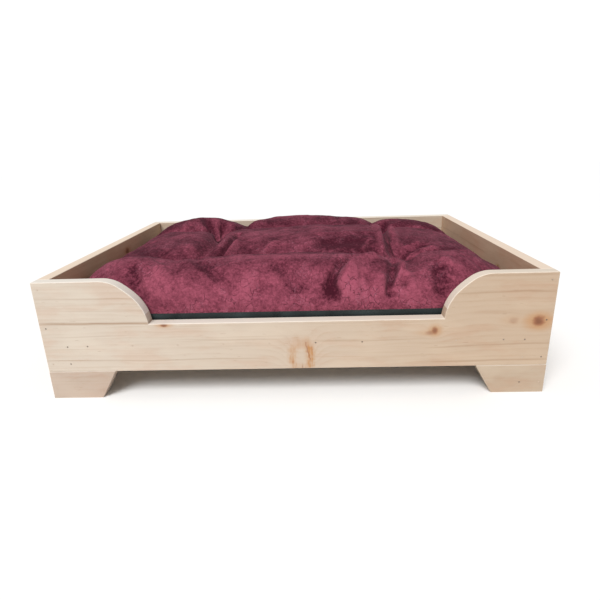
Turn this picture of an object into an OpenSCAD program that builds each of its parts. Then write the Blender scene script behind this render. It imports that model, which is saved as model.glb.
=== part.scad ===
// Raised wooden bed frame for a dog, with a tufted lift-out cushion.
// Millimetres. +X to the right, +Y to the back, +Z up.
// The origin is on the floor, under the middle of the frame.

/* [Frame] */
// Width of the frame, left to right
bed_w = 800; // [760:10:860]
// Depth of the frame, front to back
bed_d = 600; // [560:10:680]
// Height of the four boards
board_h = 152; // [146:1:180]
// Thickness of the boards and of the foot plates
board_t = 20; // [18:1:22]

/* [Entry cut-out in the front board] */
// Width of the low part, where the dog steps in
entry_w = 460; // [360:10:500]
// How far the top of the low part lies under the top of the board
entry_drop = 71; // [50:1:74]
// How far the cut-out sits to the right of the middle
entry_shift = 5; // [-10:1:10]

/* [Feet] */
// Height of the feet
foot_h = 48; // [40:1:60]
// Width of a foot at the top, across both of its plates
foot_top_w = 110; // [100:1:120]
// Width of a foot at the floor
foot_floor_w = 82; // [75:1:98]
// Side of the square corner post behind a foot
post_w = 34; // [30:1:38]

/* [Slatted base] */
// Thickness of the slats
slat_t = 10; // [8:1:12]
// Width of a slat
slat_w = 70; // [60:1:76]
// Height of the two ledgers that carry the slats
ledger_h = 25; // [22:1:28]
// Thickness of the ledgers
ledger_t = 20; // [18:1:24]
// Height of the slats' underside above the bottom edge of the boards
ledger_top_rise = 57; // [50:1:60]

/* [Cushion] */
// Height of the cushion at its crown
cushion_h = 107; // [90:1:125]
// Clear space between the cushion and the boards
cushion_gap = 5; // [4:1:12]
// Height of the side seam above the cushion's underside
seam_rise = 22; // [18:1:30]
// Thickness of the cover fabrics
fabric_t = 3; // [2:0.5:4]

/* [Hidden] */

$fn = 32;
top_z = foot_h + board_h;
inner_x = bed_w / 2 - board_t;
inner_y = bed_d / 2 - board_t;

// Cut slightly past a face, so that nothing is left as a skin
past = 1;

// Posts stand a little off the floor, so that the foot plates carry the bed
post_lift = 2;
ledger_top_z = foot_h + ledger_top_rise;
slat_top_z = ledger_top_z + slat_t;
slat_count = 8;
slat_end_gap = 6;
slat_clear = 1;
slat_pitch = (2 * inner_x - 2 * slat_end_gap - slat_w) / (slat_count - 1);

// Brads: round shank and a small head that is sunk under the surface
brad_r = 0.8;
brad_head_r = 1.3;
brad_head_t = 1;
brad_sink = 0.8;
long_brad = 40;
short_brad = 20;
corner_brad_z = [14, 76, 140];
post_brad_z = [14, 44];
side_post_brad_z = [24, 54];
foot_brad_z = 18;
foot_side_brad_z = 32;
ledger_brad_pitch = 73;
ledger_brad_count = 10;
slat_brad_off = 20;

// Where the brads stand, from the corner of the frame
corner_brad_x = bed_w / 2 - board_t / 2;
foot_corner_brad_x = bed_w / 2 - 8;
post_mid = post_w / 2 + 2;
post_brad_x = inner_x - post_mid;
post_brad_y = inner_y - post_mid;

// Cushion: levels of the crowned form, as [inset from the widest outline, height, corner radius]
cushion_z = slat_top_z + 0.3;
cushion_x = inner_x - cushion_gap;
cushion_y = inner_y - cushion_gap;
cushion_levels = [[26, 0, 50], [6, 0.08, 62], [0, 0.21, 66], [0, 0.42, 66],
                  [12, 0.66, 60], [40, 0.86, 60], [90, 0.97, 60], [150, 1, 60]];
level_t = 0.2;
corner_steps = 7;
tuft_x = inner_x / 2;
tuft_y = inner_y / 2;
tuft_floor = 0.5;
tuft_floor_r = 6;
tuft_mouth_r = 62;
tie_r = 1.5;

// ---- Outlines ----

// Points of an arc that starts at p, turns clockwise from heading a0 to a1 and has radius r
function arc_run(p, a0, a1, r, steps) =
    [for (i = [1 : steps]) let (a = a0 + (a1 - a0) * i / steps)
        p + r * [sin(a0) - sin(a), cos(a) - cos(a0)]];
function last(v) = v[len(v) - 1];

// The shoulder beside the cut-out, drawn for a drop of 1: a round rise from the
// low corner, a nearly straight slope and a tighter round onto the top edge
rise = arc_run([0, 0], 85, 45, 1.04, 9);
slope = arc_run(last(rise), 45, 36, 2.1, 3);
brow = arc_run(last(slope), 36, 0, 0.73, 8);
shoulder_shape = concat([[0, 0]], rise, slope, brow);
shoulder_scale = entry_drop / last(brow)[1];
function shoulder(side) =
    [for (p = shoulder_shape)
        [entry_shift + side * (entry_w / 2 + p[0] * shoulder_scale),
         board_h - entry_drop + p[1] * shoulder_scale]];
function reversed(v) = [for (i = [len(v) - 1 : -1 : 0]) v[i]];

// A rectangle with round corners, centred on the origin
function rounded_rect(hx, hy, r) =
    [for (c = [0 : 3], i = [0 : corner_steps])
        let (a = 90 * c + 90 * i / corner_steps,
             sx = (c == 0 || c == 3) ? 1 : -1,
             sy = (c < 2) ? 1 : -1)
        [sx * (hx - r) + r * cos(a), sy * (hy - r) + r * sin(a)]];

// ---- Placing helpers ----

// Upright plate: outline in X and Z, from y to y + t
module upright(y, t) {
    translate([0, y + t, 0]) rotate([90, 0, 0]) linear_extrude(t) children();
}

// Draws its children at the left or right, front or back corner
module at_corner(right, back) {
    mirror([right ? 1 : 0, 0, 0]) mirror([0, back ? 1 : 0, 0]) children();
}

// Repeats its children at all four corners
module at_corners() {
    for (right = [false, true], back = [false, true]) at_corner(right, back) children();
}

// ---- Brads ----

// One brad driven along +Z, its head sunk under z = 0. The hole reaches the surface.
module brad(len, hole = false) {
    head_z = hole ? -past : brad_sink;
    translate([0, 0, head_z]) cylinder(r = brad_head_r, h = brad_sink + brad_head_t - head_z);
    cylinder_z = brad_sink + brad_head_t;
    translate([0, 0, cylinder_z]) cylinder(r = brad_r, h = len - cylinder_z);
}

// Brad driven into the front face, towards +Y
module front_brad(x, z, len, hole) {
    translate([x, -bed_d / 2, z]) rotate([-90, 0, 0]) brad(len, hole);
}

// Brad driven into the left face, towards +X
module left_brad(y, z, len, hole) {
    translate([-bed_w / 2, y, z]) rotate([0, 90, 0]) brad(len, hole);
}

// Front and back boards to the ends of the side boards
module corner_brad_set(hole = false) {
    at_corners() for (z = corner_brad_z) front_brad(-corner_brad_x, foot_h + z, long_brad, hole);
}

// All four boards to the corner posts
module post_brad_set(hole = false) {
    at_corners() {
        for (z = post_brad_z) front_brad(-post_brad_x, foot_h + z, long_brad, hole);
        for (z = side_post_brad_z) left_brad(-post_brad_y, foot_h + z, long_brad, hole);
    }
}

// Foot plates to each other and to the corner posts
module foot_brad_set(hole = false) {
    at_corners() {
        front_brad(-foot_corner_brad_x, foot_brad_z, long_brad, hole);
        front_brad(-post_brad_x, foot_brad_z, long_brad, hole);
        left_brad(-post_brad_y, foot_side_brad_z, long_brad, hole);
    }
}

// Front and back boards to the ledgers
module ledger_brad_set(hole = false) {
    for (back = [false, true], i = [0 : ledger_brad_count - 1]) {
        x = (i - (ledger_brad_count - 1) / 2) * ledger_brad_pitch;
        at_corner(false, back) front_brad(x, ledger_top_z - ledger_h / 2, board_t + ledger_t - 2, hole);
    }
}

// Slats to the ledgers
module slat_brad_set(hole = false) {
    for (i = [1 : slat_count], side = [-1, 1], end = [-1, 1])
        translate([slat_x(i) + side * slat_brad_off, end * (inner_y - ledger_t / 2), slat_top_z])
            rotate([180, 0, 0]) brad(short_brad, hole);
}

// ---- Boards ----

module board_outline() {
    translate([-bed_w / 2, 0]) square([bed_w, board_h]);
}

module front_board_outline() {
    polygon(concat([[-bed_w / 2, 0], [bed_w / 2, 0], [bed_w / 2, board_h]],
                   reversed(shoulder(1)), shoulder(-1),
                   [[-bed_w / 2, board_h]]));
}

module front_board() {
    color("wheat") difference() {
        translate([0, 0, foot_h]) upright(-bed_d / 2, board_t) front_board_outline();
        corner_brad_set(true);
        post_brad_set(true);
        ledger_brad_set(true);
    }
}

module back_board() {
    color("wheat") difference() {
        translate([0, 0, foot_h]) upright(bed_d / 2 - board_t, board_t) board_outline();
        corner_brad_set(true);
        post_brad_set(true);
        ledger_brad_set(true);
    }
}

module side_board(right) {
    color("burlywood") difference() {
        at_corner(right, false)
            translate([-bed_w / 2, -inner_y, foot_h]) cube([board_t, 2 * inner_y, board_h]);
        corner_brad_set(true);
        post_brad_set(true);
    }
}

// ---- Feet ----

// Outline of a foot: upright outer edge, inner edge that leans in towards the floor
module foot_outline(cut) {
    polygon([[cut, 0], [foot_floor_w, 0], [foot_top_w, foot_h], [cut, foot_h]]);
}

// Plate that is level with the face of the front or back board
module foot_front_plate(right, back) {
    color("tan") difference() {
        at_corner(right, back) translate([-bed_w / 2, 0, 0]) upright(-bed_d / 2, board_t) foot_outline(0);
        foot_brad_set(true);
    }
}

// Plate that is level with the side board and ends behind the other plate
module foot_side_plate(right, back) {
    color("tan") difference() {
        at_corner(right, back) translate([-inner_x, -bed_d / 2, 0]) rotate([0, 0, 90])
            upright(0, board_t) foot_outline(board_t);
        foot_brad_set(true);
    }
}

// Square block inside the corner that joins boards and foot plates
module post(right, back) {
    color("peru") difference() {
        at_corner(right, back) translate([-inner_x, -inner_y, post_lift])
            cube([post_w, post_w, ledger_top_z - post_lift]);
        post_brad_set(true);
        foot_brad_set(true);
        slat_brad_set(true);
    }
}

// ---- Slatted base ----

module ledger(back) {
    color("peru") difference() {
        at_corner(false, back) translate([-inner_x + post_w, -inner_y, ledger_top_z - ledger_h])
            cube([2 * (inner_x - post_w), ledger_t, ledger_h]);
        ledger_brad_set(true);
        slat_brad_set(true);
    }
}

function slat_x(i) = -inner_x + slat_end_gap + slat_w / 2 + (i - 1) * slat_pitch;

module slat(i) {
    color("navajowhite") difference() {
        translate([slat_x(i) - slat_w / 2, -inner_y + slat_clear, ledger_top_z])
            cube([slat_w, 2 * (inner_y - slat_clear), slat_t]);
        slat_brad_set(true);
    }
}

// ---- Cushion ----

// Crowned closed form, drawn in by inset on every side
module cushion_form(inset) {
    hull() for (level = cushion_levels) {
        z = max(inset, min(cushion_h - inset, level[1] * cushion_h));
        translate([0, 0, cushion_z + z - (level[1] == 1 ? level_t : 0)]) linear_extrude(level_t)
            polygon(rounded_rect(cushion_x - level[0] - inset, cushion_y - level[0] - inset, level[2]));
    }
}

// Four pits where the ties pull the top down
module tuft_pits(grow) {
    for (sx = [-1, 1], sy = [-1, 1])
        translate([sx * tuft_x, sy * tuft_y, cushion_z + tuft_floor * cushion_h - grow])
            cylinder(r1 = tuft_floor_r + grow, r2 = tuft_mouth_r + grow, h = (1 - tuft_floor) * cushion_h + grow + past);
}

module filling_form() {
    difference() {
        cushion_form(fabric_t);
        tuft_pits(fabric_t);
    }
}

// Both covers together, as a closed skin around the filling
module skin() {
    difference() {
        cushion_form(0);
        tuft_pits(0);
        filling_form();
        tie_set();
    }
}

// Everything under the level of the side seam
module below_seam() {
    translate([-bed_w / 2, -bed_d / 2, cushion_z - past]) cube([bed_w, bed_d, seam_rise + past]);
}

// Threads that run from the underside to the floor of each pit
module tie_set() {
    for (sx = [-1, 1], sy = [-1, 1])
        translate([sx * tuft_x, sy * tuft_y, cushion_z]) cylinder(r = tie_r, h = tuft_floor * cushion_h);
}

module cushion_cover() {
    color("maroon") difference() { skin(); below_seam(); }
}

module cushion_base() {
    color("darkslategray") intersection() { skin(); below_seam(); }
}

module cushion_filling() {
    color("white") difference() { filling_form(); tie_set(); }
}

module cushion_ties() {
    color("dimgray") tie_set();
}

front_board();
back_board();
side_board(false);  // left_side_board
side_board(true);  // right_side_board
foot_front_plate(false, false);  // front_left_foot_front
foot_side_plate(false, false);  // front_left_foot_side
foot_front_plate(true, false);  // front_right_foot_front
foot_side_plate(true, false);  // front_right_foot_side
foot_front_plate(false, true);  // back_left_foot_back
foot_side_plate(false, true);  // back_left_foot_side
foot_front_plate(true, true);  // back_right_foot_back
foot_side_plate(true, true);  // back_right_foot_side
post(false, false);  // front_left_post
post(true, false);  // front_right_post
post(false, true);  // back_left_post
post(true, true);  // back_right_post
ledger(false);  // front_ledger
ledger(true);  // back_ledger
slat(1);  // slat_1
slat(2);  // slat_2
slat(3);  // slat_3
slat(4);  // slat_4
slat(5);  // slat_5
slat(6);  // slat_6
slat(7);  // slat_7
slat(8);  // slat_8
color("silver") corner_brad_set();  // corner_brads
color("silver") post_brad_set();  // post_brads
color("silver") foot_brad_set();  // foot_brads
color("silver") ledger_brad_set();  // ledger_brads
color("silver") slat_brad_set();  // slat_brads
cushion_cover();
cushion_base();
cushion_filling();
cushion_ties();
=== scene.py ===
import math

import bmesh
import bpy
import numpy as np
from bpy.props import FloatProperty, FloatVectorProperty, IntProperty, PointerProperty
from mathutils import Matrix, Vector


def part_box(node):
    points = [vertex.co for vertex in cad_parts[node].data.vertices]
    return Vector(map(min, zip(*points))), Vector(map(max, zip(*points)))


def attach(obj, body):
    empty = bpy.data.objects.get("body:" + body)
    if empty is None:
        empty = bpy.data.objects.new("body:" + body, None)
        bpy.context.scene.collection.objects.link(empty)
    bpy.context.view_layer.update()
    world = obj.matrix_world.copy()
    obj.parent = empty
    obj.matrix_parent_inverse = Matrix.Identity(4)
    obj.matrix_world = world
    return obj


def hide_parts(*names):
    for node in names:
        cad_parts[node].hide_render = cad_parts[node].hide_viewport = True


bl_info = {
    "name": "Dog Bed With Frame",
    "version": (1, 0, 0),
    "blender": (4, 5, 0),
    "location": "View3D > Sidebar > Dog Bed",
    "description": "Builds the timber, brads and tufted cushion of a raised dog bed around its fixed frame",
    "category": "Object",
}

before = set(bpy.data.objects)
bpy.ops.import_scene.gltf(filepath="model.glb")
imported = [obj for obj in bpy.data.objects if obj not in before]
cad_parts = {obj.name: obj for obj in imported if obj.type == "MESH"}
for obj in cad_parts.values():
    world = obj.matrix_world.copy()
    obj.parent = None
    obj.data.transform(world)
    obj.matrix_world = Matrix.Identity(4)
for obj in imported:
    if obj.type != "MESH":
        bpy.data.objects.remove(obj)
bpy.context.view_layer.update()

MM = 0.001
CORNERS = ("front_left", "front_right", "back_left", "back_right")
SIGNS = ((-1, -1), (-1, 1), (1, -1), (1, 1))


# ---------------------------------------------------------------- settings

class TimberSettings(bpy.types.PropertyGroup):
    """Sizes and colours of the pine"""
    edge_round: FloatProperty(
        name="Edge Round", description="Radius sanded onto the edges of the boards",
        default=1.4 * MM, min=0.0, unit="LENGTH")
    ring_gap: FloatProperty(
        name="Ring Gap", description="Distance between two growth rings",
        default=9.5 * MM, min=0.001, unit="LENGTH")
    early_wood: FloatVectorProperty(
        name="Early Wood", description="Pale wood between the growth rings",
        default=(0.70, 0.59, 0.475), subtype="COLOR", min=0.0, max=1.0)
    late_wood: FloatVectorProperty(
        name="Late Wood", description="Darker wood of the growth rings",
        default=(0.52, 0.375, 0.255), subtype="COLOR", min=0.0, max=1.0)
    knot_wood: FloatVectorProperty(
        name="Knot Wood", description="Reddish brown of the knots",
        default=(0.26, 0.095, 0.045), subtype="COLOR", min=0.0, max=1.0)


class BradSettings(bpy.types.PropertyGroup):
    """Sizes of the brads"""
    head_radius: FloatProperty(
        name="Head Radius", description="Radius of a brad's head",
        default=1.3 * MM, min=0.0005, unit="LENGTH")
    sink: FloatProperty(
        name="Sink", description="How deep a head lies under the surface",
        default=0.4 * MM, min=0.0, unit="LENGTH")


class CushionSettings(bpy.types.PropertyGroup):
    """Shape and colours of the cushion"""
    columns: IntProperty(
        name="Columns", description="Cloth columns from left to right, before refining",
        default=84, min=20, max=160)
    rows: IntProperty(
        name="Rows", description="Cloth rows from front to back, before refining",
        default=64, min=20, max=160)
    pressure: FloatProperty(
        name="Pressure", description="Pressure of the filling in the cloth simulation",
        default=4.0, min=0.0)
    stiffness: FloatProperty(
        name="Stiffness", description="How firmly the plush resists stretching",
        default=40.0, min=1.0)
    extra_cloth: FloatProperty(
        name="Extra Cloth", description="How much longer the cloth is than the form under it",
        default=0.04, min=0.0)
    frames: IntProperty(
        name="Frames", description="Frames of the cloth simulation",
        default=20, min=2, max=60)
    puff_cap: FloatProperty(
        name="Puff Cap", description="How far the simulation may move a point",
        default=6 * MM, min=0.0, unit="LENGTH")
    # Ends of the plush colour: besides the nap, they give its painted shade in valleys and folds and its
    # painted highlight on ridges and front faces
    plush_dark_and_shade: FloatVectorProperty(
        name="Plush Dark", description="Nap seen along its lie",
        default=(0.055, 0.007, 0.016), subtype="COLOR", min=0.0, max=1.0)
    plush_light_and_highlight: FloatVectorProperty(
        name="Plush Light", description="Nap brushed up to the light",
        default=(0.335, 0.078, 0.120), subtype="COLOR", min=0.0, max=1.0)
    base_cloth: FloatVectorProperty(
        name="Base Cloth", description="Dark cloth of the underside",
        default=(0.018, 0.026, 0.027), subtype="COLOR", min=0.0, max=1.0)


class StageSettings(bpy.types.PropertyGroup):
    """Where the camera stands and how bright the light is"""
    camera_place: FloatVectorProperty(
        name="Camera Place", description="Where the camera stands",
        default=(0.0371, -0.9683, 0.387), subtype="TRANSLATION", unit="LENGTH")
    yaw: FloatProperty(
        name="Yaw", description="How far the camera turns to the left",
        default=0.0346, subtype="ANGLE")
    pitch: FloatProperty(
        name="Pitch", description="How far the camera looks down",
        default=0.322, subtype="ANGLE")
    roll: FloatProperty(
        name="Roll", description="How far the camera leans",
        default=-0.031, subtype="ANGLE")
    lens: FloatProperty(
        name="Lens", description="Focal length in millimetres on a 36 mm sensor",
        default=27.7, min=10.0, max=200.0)
    key_strength: FloatProperty(
        name="Key Strength", description="Strength of the wide soft light above the front",
        default=2.6, min=0.0)


# ---------------------------------------------------------------- node helpers

class Sockets:
    """Adds shader nodes to a tree and returns their outputs, so that formulas stay short."""

    def __init__(self, tree):
        self.tree = tree

    def put(self, socket, value):
        if isinstance(value, bpy.types.NodeSocket):
            self.tree.links.new(value, socket)
        elif value is not None:
            if hasattr(socket.default_value, "__len__") and len(socket.default_value) == 4:
                value = (*value[:3], 1.0)
            socket.default_value = value

    def node(self, kind, inputs=(), **settings):
        node = self.tree.nodes.new(kind)
        for key, value in settings.items():
            setattr(node, key, value)
        for key, value in dict(inputs).items():
            self.put(node.inputs[key], value)
        return node

    def math(self, operation, a, b=None):
        inputs = {0: a} if b is None else {0: a, 1: b}
        return self.node("ShaderNodeMath", inputs, operation=operation).outputs[0]

    def add(self, a, b):
        return self.math("ADD", a, b)

    def sub(self, a, b):
        return self.math("SUBTRACT", a, b)

    def mul(self, a, b):
        return self.math("MULTIPLY", a, b)

    def size(self, value):
        return self.math("ABSOLUTE", value)

    def smooth(self, value, low, high):
        """0 at low and 1 at high, with soft ends; low may be the greater of the two."""
        node = self.node("ShaderNodeMapRange", {"Value": value, "From Min": low, "From Max": high},
                         interpolation_type="SMOOTHSTEP")
        return node.outputs[0]

    def mix(self, factor, a, b, blend="MIX"):
        node = self.node("ShaderNodeMix", data_type="RGBA", blend_type=blend, clamp_factor=True)
        self.put(node.inputs["Factor"], factor)
        self.put(node.inputs["A"], a)
        self.put(node.inputs["B"], b)
        return node.outputs["Result"]

    def scaled(self, vector, scale, place=(0, 0, 0)):
        node = self.node("ShaderNodeMapping", {"Vector": vector, "Location": place, "Scale": scale})
        return node.outputs[0]

    def noise(self, vector, scale=1.0, detail=2.0, roughness=0.5, distortion=0.0):
        node = self.node("ShaderNodeTexNoise", {"Vector": vector, "Scale": scale, "Detail": detail,
                                                "Roughness": roughness, "Distortion": distortion})
        return node.outputs["Fac"]

    def wander(self, vector, scale, size):
        """A vector moved about at random by up to half the size."""
        node = self.node("ShaderNodeTexNoise", {"Vector": vector, "Scale": scale, "Detail": 2.0})
        way = self.node("ShaderNodeVectorMath", {0: node.outputs["Color"], 1: (0.5, 0.5, 0.5)},
                        operation="SUBTRACT").outputs[0]
        way = self.node("ShaderNodeVectorMath", {0: way, "Scale": size}, operation="SCALE").outputs[0]
        return self.node("ShaderNodeVectorMath", {0: vector, 1: way}, operation="ADD").outputs[0]

    def split(self, vector):
        return self.node("ShaderNodeSeparateXYZ", {0: vector}).outputs

    def join(self, x, y, z):
        return self.node("ShaderNodeCombineXYZ", {0: x, 1: y, 2: z}).outputs[0]

    def attribute(self, name):
        return self.node("ShaderNodeAttribute", attribute_name=name).outputs["Fac"]

    def place(self):
        return self.node("ShaderNodeTexCoord").outputs["Object"]

    def bump(self, height, distance, strength=1.0, normal=None):
        inputs = {"Height": height, "Distance": distance, "Strength": strength}
        if normal is not None:
            inputs["Normal"] = normal
        return self.node("ShaderNodeBump", inputs).outputs[0]


def new_material(name):
    """An empty material and the Sockets of its tree."""
    material = bpy.data.materials.new(name)
    material.use_nodes = True
    material.node_tree.nodes.clear()
    return material, Sockets(material.node_tree)


def close_material(s, **inputs):
    """Ends a material in a Principled shader with the inputs given; _ stands for a space in their names."""
    shader = s.node("ShaderNodeBsdfPrincipled", {k.replace("_", " "): v for k, v in inputs.items()})
    s.node("ShaderNodeOutputMaterial", {"Surface": shader.outputs[0]})


# ---------------------------------------------------------------- pine

# Which of x, y and z runs along the grain, across the face and through the board
GRAIN_ORDER = {"X": (0, 2, 1), "Y": (1, 2, 0), "Z": (2, 0, 1), "SLAT": (1, 0, 2)}


def centred(s, value, size):
    """A 0 to 1 value moved to lie around 0."""
    return s.mul(s.sub(value, 0.5), size)


def ellipse(s, along, across, place, half_length, half_width):
    """Distance from a place, 1 on the ellipse."""
    u = s.math("DIVIDE", s.sub(along, place[0]), half_length)
    v = s.math("DIVIDE", s.sub(across, place[1]), half_width)
    return s.math("SQRT", s.add(s.mul(u, u), s.mul(v, v)))


def highest(s, values):
    """The greatest of some values, or 0."""
    top = 0.0
    for value in values:
        top = s.math("MAXIMUM", top, value)
    return top


def band(s, value, low, high, soft):
    """1 between low and high, with soft ends."""
    return s.mul(s.smooth(value, low - soft, low + soft), s.smooth(value, high + soft, high - soft))


def tinted(s, colour, tone):
    """A colour multiplied by a tone."""
    return s.mix(1.0, colour, tone, "MULTIPLY")


class Grain:
    """A board's own directions and the noises that all its marks share."""

    def __init__(self, s, grain, seed):
        xyz = s.split(s.place())
        self.along, self.across, through = (xyz[i] for i in GRAIN_ORDER[grain])
        self.through = through
        self.space = s.join(s.add(self.along, seed * 3.1), s.add(self.across, seed * 0.7),
                            s.add(through, seed * 0.37))
        self.s = s
        self.slow = self.noise((2.0, 8, 8), 2, 0.45)
        self.wavy = self.noise((9, 22, 22), 2, 0.5, (0.4, 0.2, 0.1))
        self.ragged = self.noise((90, 150, 150), 3)
        self.blotch = self.noise((8, 26, 26), 4, 0.65, (1.3, 0.6, 0.2))
        self.streak = self.noise((5, 300, 300), 4, 0.6)
        self.fibre = self.noise((26, 1500, 1500), 2, 0.7)

    def noise(self, scale, detail, roughness=0.5, place=(0, 0, 0)):
        """Noise with a scale of its own along, across and through the board."""
        return self.s.noise(self.s.scaled(self.space, scale, place), detail=detail, roughness=roughness)

    def radius(self, pith):
        """Distance from the middle of the log, with the wander of real rings."""
        s = self.s
        across = s.math("POWER", s.sub(self.across, pith[0]), 2.0)
        through = s.math("POWER", s.sub(self.through, pith[1]), 2.0)
        radius = s.math("SQRT", s.add(across, through))
        return s.add(radius, s.add(s.mul(self.slow, 0.05), s.mul(self.wavy, 0.012)))


def add_knots(s, g, knots, radius, halos, cores):
    """Bends the rings round each knot; adds its warm halo and dark core and returns the hearts."""
    hearts = []
    for x, y, half_length, half_width, darkness in knots:
        reach = ellipse(s, g.along, g.across, (x, y), half_length, half_width)
        reach = s.add(reach, centred(s, g.ragged, 0.75))
        wide = ellipse(s, g.along, g.across, (x, y), half_length * 2.6, half_width * 1.7)
        wide = s.add(wide, centred(s, g.blotch, 1.1))
        pull = s.math("EXPONENT", s.mul(s.mul(reach, reach), -0.14))
        radius = s.add(radius, s.mul(pull, 1.4 * half_width))
        halos.append(s.mul(s.smooth(wide, 1.35, 0.25), 0.80 * darkness))
        cores.append(s.mul(s.smooth(reach, 1.25, 0.55), darkness))
        hearts.append(s.mul(s.smooth(reach, 0.75, 0.2), darkness))
    return radius, hearts


def add_flame(s, g, flame, radius, halos, cores):
    """Bends the rings round a knot just under the surface and adds its glow, its cracks and its bark."""
    place, size = flame[:2], flame[2]
    around = s.add(ellipse(s, g.along, g.across, place, size * 0.62, size), centred(s, g.ragged, 0.55))
    pull = s.math("EXPONENT", s.mul(s.mul(around, around), -0.35))
    radius = s.add(radius, s.mul(pull, 1.3 * size))
    vein = g.noise((300, 42, 42), 3, 0.7)
    aside = s.sub(g.along, place[0])
    sides = s.size(aside)

    glow = band(s, s.add(around, centred(s, g.blotch, 1.2)), 0.50, 1.15, 0.45)
    right = s.smooth(g.along, place[0] - 0.5 * size, place[0] + 0.6 * size)
    uneven = s.add(0.35, s.smooth(sides, 0.1 * size, 0.6 * size))
    glow = s.mul(glow, s.mul(uneven, s.add(0.62, s.mul(right, 0.55))))
    halos.append(s.mul(glow, s.add(0.50, s.mul(s.smooth(vein, 0.36, 0.64), 0.65))))

    bend = s.mul(s.smooth(g.across, place[1] + size, place[1] - size), 0.35 * size)
    seam = s.sub(g.along, s.add(place[0] + 0.26 * size, bend))
    seam = s.smooth(s.size(s.add(seam, centred(s, g.ragged, 0.004))), 1.5 * MM, 0.4 * MM)
    cores.append(s.mul(s.mul(seam, s.smooth(around, 1.1, 0.8)), 0.65))

    split = s.smooth(s.size(s.add(aside, centred(s, g.wavy, 0.010))), 1.8 * MM, 0.3 * MM)
    foot = s.smooth(s.sub(g.across, place[1] - 0.75 * size), 8 * MM, -6 * MM)
    cores.append(s.mul(s.mul(split, foot), 0.8))

    bark = s.mul(s.smooth(vein, 0.52, 0.66), band(s, sides, 0.35 * size, 0.75 * size, 0.2 * size))
    cores.append(s.mul(s.mul(bark, s.smooth(around, 1.35, 0.8)), 0.45))
    return radius


def pitch_lines(s, g, streaks):
    """How dark each long streak of pitch is, following the wander of the rings."""
    level = s.add(g.across, s.add(centred(s, g.slow, 0.020), centred(s, g.wavy, 0.006)))
    lines = []
    for start, end, place, half_width, darkness in streaks:
        gap = s.size(s.sub(level, place))
        reach = band(s, g.along, start, end, 0.03)
        lines.append(s.mul(s.mul(s.smooth(gap, half_width, 0.0), reach), darkness))
    return lines


def pine(name, grain="X", seed=0.0, knots=(), tone=(1.0, 1.0, 1.0), pith=(-0.03, -0.05), streaks=(),
         flame=None, far_tone=None):
    """Planed pine, sawn from a log whose middle, the pith, runs along the grain past the board.

    knots are (along, across, half length, half width, darkness), streaks are (from, to, across,
    half width, darkness), flame is (along, across, size) of a knot just under the surface, and
    far_tone is the tone at the far end of the grain."""
    look = bpy.context.scene.bed_timber
    material, s = new_material(name)
    g = Grain(s, grain, seed)
    halos, cores = [], []
    radius, hearts = add_knots(s, g, knots, g.radius(pith), halos, cores)
    if flame:
        radius = add_flame(s, g, flame, radius, halos, cores)

    ring = s.math("FRACT", s.math("DIVIDE", radius, look.ring_gap))
    late = s.mul(s.math("POWER", ring, 2.2), s.smooth(ring, 1.0, 0.90))
    late = s.mul(late, s.smooth(g.blotch, 0.25, 0.75))
    if far_tone:
        tone = s.mix(s.smooth(g.along, -0.35, 0.38), tone, far_tone)
        early, dark = (tinted(s, colour, tone) for colour in (look.early_wood, look.late_wood))
    else:
        early, dark = (tuple(c * k for c, k in zip(colour, tone))
                       for colour in (look.early_wood, look.late_wood))
    colour = s.mix(s.mul(late, 0.50), early, dark)
    pink = s.mul(s.smooth(g.blotch, 0.46, 0.62), 0.42)
    colour = s.mix(pink, colour, tinted(s, early, (0.95, 0.80, 0.74)))
    pale = s.mul(s.smooth(g.wavy, 0.50, 0.66), 0.45)
    colour = s.mix(pale, colour, tinted(s, early, (1.10, 1.12, 1.12)))
    colour = s.mix(s.mul(s.smooth(g.streak, 0.52, 0.78), 0.34), colour, dark)
    colour = s.mix(s.mul(s.smooth(g.fibre, 0.62, 0.80), 0.12), colour, (0.42, 0.29, 0.19))
    lines = pitch_lines(s, g, streaks)
    if lines:
        colour = s.mix(s.mul(highest(s, lines), s.add(0.25, g.streak)), colour, (0.30, 0.17, 0.09))
    flecks = g.noise((60, 500, 500), 1, 0.5, (0.3, 0.1, 0.7))
    colour = s.mix(s.mul(s.smooth(flecks, 0.72, 0.79), 0.40), colour, (0.33, 0.20, 0.12))
    if halos:
        colour = s.mix(highest(s, halos), colour, (0.47, 0.24, 0.10))
        colour = s.mix(highest(s, cores), colour, s.mix(g.ragged, look.knot_wood, (0.36, 0.17, 0.09)))
    if hearts:
        colour = s.mix(s.mul(highest(s, hearts), 0.45), colour, (0.12, 0.040, 0.022))
    scuffed = s.mul(s.attribute("eased_edge"), s.smooth(g.noise((60, 60, 60), 2), 0.25, 0.60))
    colour = s.mix(s.mul(scuffed, 0.22), colour, (0.86, 0.78, 0.68))
    # Faces that look up are painted paler: partly paler sawn wood, partly painted highlight from the light
    # above.
    sawn = s.mix(0.5, tinted(s, (0.97, 0.92, 0.84), tone), (0.90, 0.83, 0.73))
    colour = s.mix(s.mul(s.attribute("top_edge"), 0.75), colour, sawn)

    relief = s.add(s.mul(g.streak, 0.6), s.add(s.mul(g.fibre, 0.5), s.mul(late, 0.5)))
    close_material(s, Base_Color=colour, Roughness=s.add(0.52, s.mul(g.streak, 0.22)),
                   Normal=s.bump(relief, 0.25 * MM, 0.55), Specular_IOR_Level=0.30)
    return material


# ---------------------------------------------------------------- timber shapes

SHARP_ANGLE = math.radians(25)
SEAT_DEPTH = 0.8 * MM
HOLE_DEPTH = 1.1 * MM


def extruded(outline, place, low, high):
    """A bmesh of an outline swept from low to high; place turns (u, v, w) into a point."""
    mesh = bmesh.new()
    rings = [[mesh.verts.new(place(u, v, w)) for u, v in outline] for w in (low, high)]
    mesh.faces.new(rings[0])
    mesh.faces.new(list(reversed(rings[1])))
    count = len(outline)
    for i in range(count):
        j = (i + 1) % count
        mesh.faces.new((rings[0][j], rings[0][i], rings[1][i], rings[1][j]))
    bmesh.ops.recalc_face_normals(mesh, faces=mesh.faces)
    return mesh


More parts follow.
